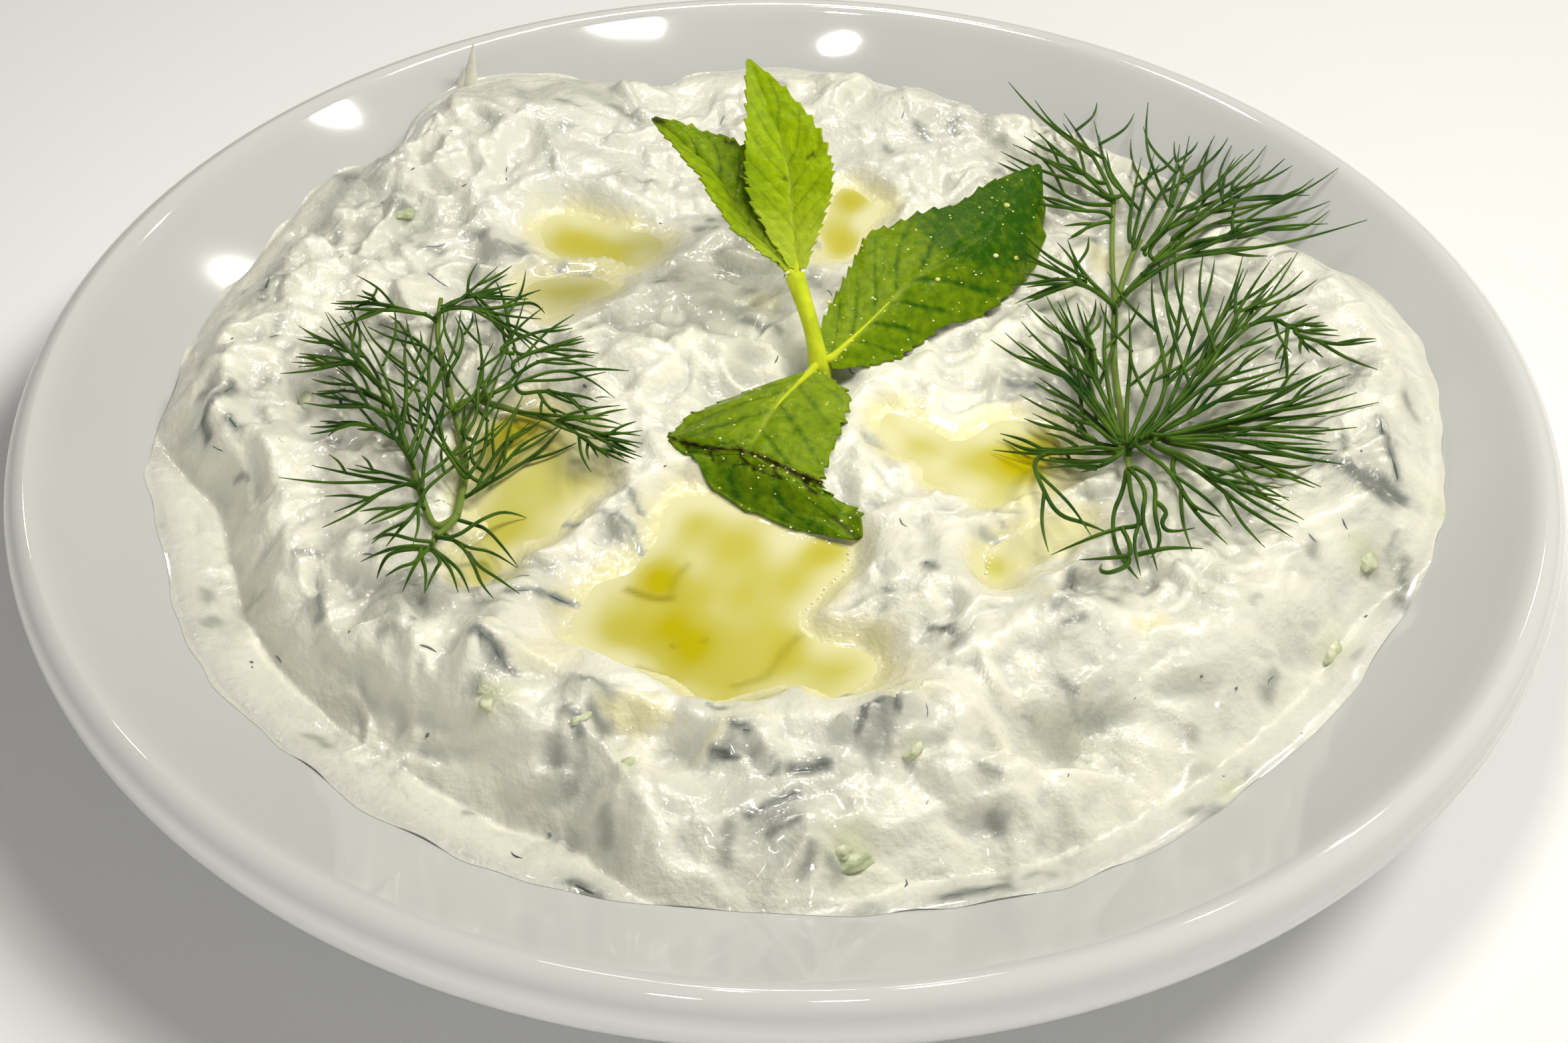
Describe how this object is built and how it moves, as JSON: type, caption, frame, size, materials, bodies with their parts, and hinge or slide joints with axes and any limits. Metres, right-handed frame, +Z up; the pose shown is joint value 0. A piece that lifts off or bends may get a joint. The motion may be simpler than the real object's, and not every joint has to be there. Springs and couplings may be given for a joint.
{
  "type": "dish of haydari",
  "caption": "Round white porcelain dish of thick herbed yoghurt dip with olive oil pools, a mint sprig and dill fronds on top.",
  "frame": {"origin": "middle of the foot ring, on the surface that the dish stands on", "axes": "+Z up, -Y towards the side that the picture shows, +X to that view's right"},
  "size_m": [0.2, 0.2, 0.0449],
  "materials": {
    "porcelain": "glossy white glaze",
    "dip": "creamy and moist, with herb flecks",
    "oil": "clear yellow, wet",
    "mint_stem": "fresh stem, satin",
    "mint_leaf": "fresh leaf with oily glints",
    "dill": "fresh needles, satin"
  },
  "bodies": {
    "root": {"dish": "porcelain", "haydari": "dip", "oil_front": "oil", "oil_left": "oil", "oil_upper": "oil", "oil_upper_small": "oil", "oil_back": "oil", "oil_right": "oil", "oil_right_small": "oil", "mint_stem": "mint_stem", "mint_leaf_left": "mint_leaf", "mint_leaf_upright": "mint_leaf", "mint_leaf_right": "mint_leaf", "mint_leaf_front": "mint_leaf", "dill_left": "dill", "dill_right": "dill"}
  },
  "joints": []
}
